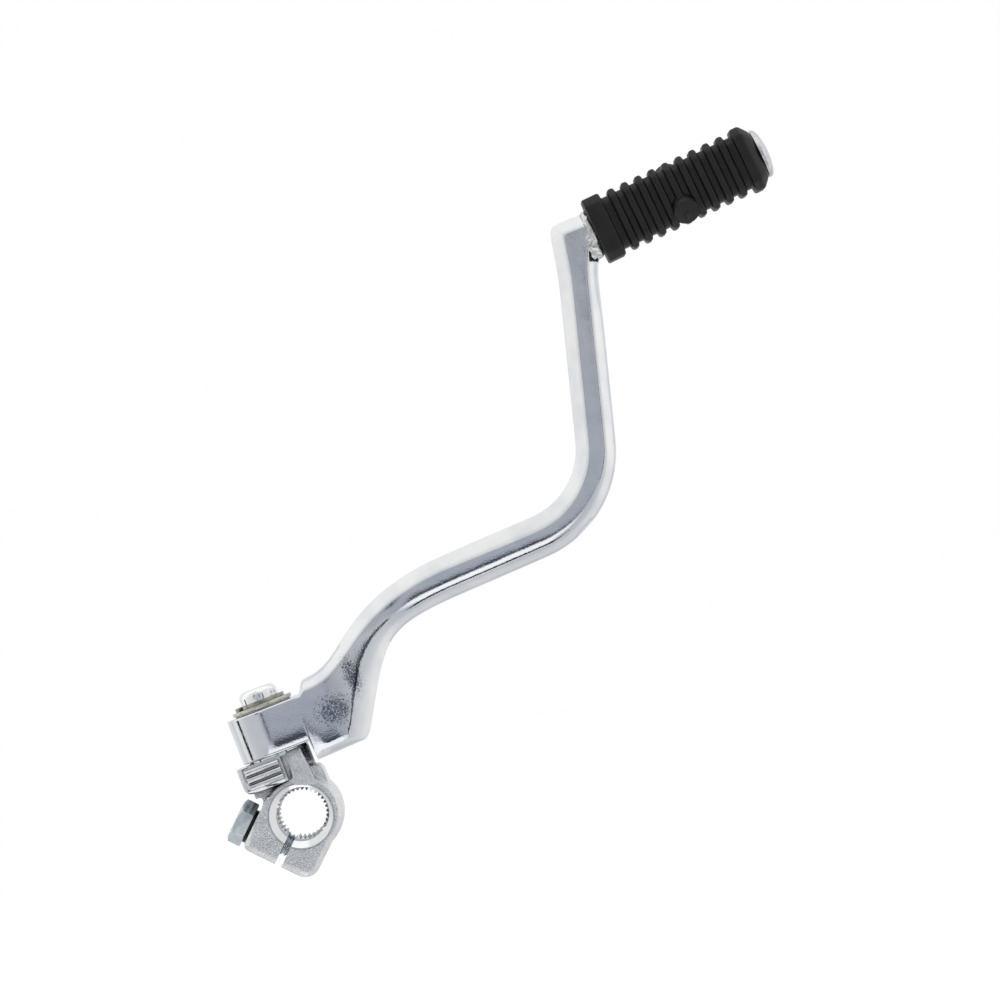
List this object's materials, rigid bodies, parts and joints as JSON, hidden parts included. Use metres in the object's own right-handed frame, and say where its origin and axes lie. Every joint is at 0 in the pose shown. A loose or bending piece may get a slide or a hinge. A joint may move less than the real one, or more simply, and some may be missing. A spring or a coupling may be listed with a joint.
{
  "type": "folding kick start lever",
  "caption": "Folding kick start lever: splined clamp knuckle with pinch bolt, S-shaped arm on a vertical journal, and a pedal with a ribbed rubber sleeve.",
  "frame": {"origin": "middle of the splined bore, on its axis", "axes": "Y along the splined bore, -Y toward the engine (the side that the picture shows); +Z along the fold journal, away from the bore; +X toward the arm in its stowed position"},
  "size_m": [0.242, 0.025, 0.1735],
  "materials": {
    "chrome_knuckle": "chrome plating over a slightly pebbled forging",
    "chrome_arm": "polished chrome plating",
    "chrome_pin": "chrome plating",
    "weld_metal": "rough weld bead under chrome",
    "zinc_plated_steel": "clear zinc plating, satin",
    "washer_steel": "yellow-grey plated steel",
    "spring_steel": "oiled spring steel",
    "ball_steel": "ground bearing steel",
    "black_rubber": "matte moulded rubber"
  },
  "bodies": {
    "knuckle": {"clamp_knuckle": "chrome_knuckle", "clamp_bolt": "zinc_plated_steel", "pivot_wave_washer": "spring_steel", "pivot_washer": "washer_steel", "pivot_circlip": "spring_steel", "detent_spring": "spring_steel"},
    "arm": {"kick_arm": "chrome_arm", "pedal_pin": "chrome_pin", "pedal_weld": "weld_metal", "pedal_rubber": "black_rubber"},
    "ball": {"detent_ball": "ball_steel"}
  },
  "joints": [
    {"name": "arm_fold", "type": "hinge", "parent": "knuckle", "child": "arm", "pos_m": [0, 0, 0.028], "axis": [0, 0, 1], "range_deg": [0, 90]},
    {"name": "detent_click", "type": "slide", "parent": "knuckle", "child": "ball", "axis": [0, 0, 1], "range_m": [0, 0.00045], "stiffness_N_per_m": 1500, "springref_m": 0.002, "deforming": ["detent_spring"]}
  ]
}
